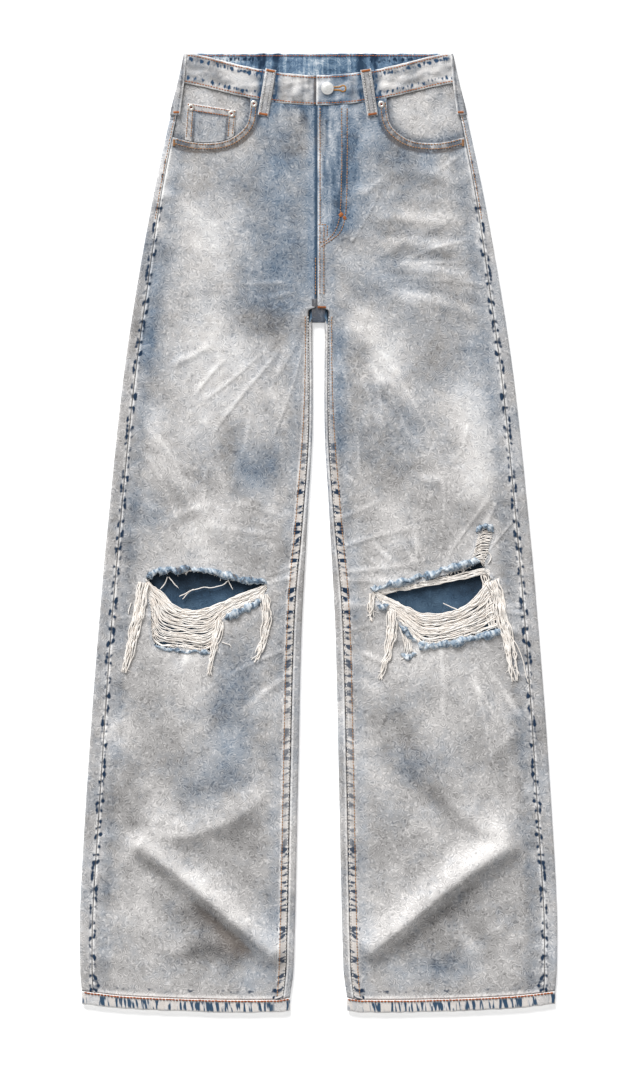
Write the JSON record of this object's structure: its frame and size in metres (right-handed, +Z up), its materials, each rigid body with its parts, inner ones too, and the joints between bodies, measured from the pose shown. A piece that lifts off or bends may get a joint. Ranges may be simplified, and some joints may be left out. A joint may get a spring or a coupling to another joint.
{
  "type": "ripped jeans",
  "caption": "Wide-legged washed denim jeans with ripped knees, laid flat, with scoop pockets, coin pocket, belt loops, a shank button at the waist and stitched hems.",
  "frame": {"origin": "centre of the bounding box's footprint, on the surface that the jeans lie on", "axes": "+Y from the hems towards the waist, +Z up, away from the surface, +X towards the wearer's left"},
  "size_m": [0.5728, 1.1498, 0.0193],
  "materials": {
    "washed_denim": "stone-washed light grey-blue twill with faded patches and dark indigo left along the seams",
    "loose_thread": "bare ecru weft threads, limp and slightly fuzzy",
    "button_metal": "satin nickel-plated button",
    "rivet_metal": "pale worn metal rivet cap"
  },
  "bodies": {
    "root": {"back_leg_left": "washed_denim", "back_leg_right": "washed_denim", "back_pocket_left": "washed_denim", "back_pocket_right": "washed_denim", "belt_loop_back": "washed_denim", "belt_loop_front_left": "washed_denim", "belt_loop_front_right": "washed_denim", "belt_loop_side_left": "washed_denim", "belt_loop_side_right": "washed_denim", "coin_pocket": "washed_denim", "fringe_left_inner": "loose_thread", "fringe_left_middle": "loose_thread", "fringe_left_outer": "loose_thread", "fringe_right_inner": "loose_thread", "fringe_right_middle": "loose_thread", "fringe_right_outer": "loose_thread", "front_leg_left": "washed_denim", "front_leg_right": "washed_denim", "hem_left": "washed_denim", "hem_right": "washed_denim", "knee_threads_left": "loose_thread", "knee_threads_right": "loose_thread", "pocket_facing_left": "washed_denim", "pocket_facing_right": "washed_denim", "rivet_coin_inner": "rivet_metal", "rivet_coin_outer": "rivet_metal", "rivet_pocket_left": "rivet_metal", "rivet_pocket_right": "rivet_metal", "shank_button": "button_metal", "waistband": "washed_denim", "yoke_left": "washed_denim", "yoke_right": "washed_denim"}
  },
  "joints": []
}
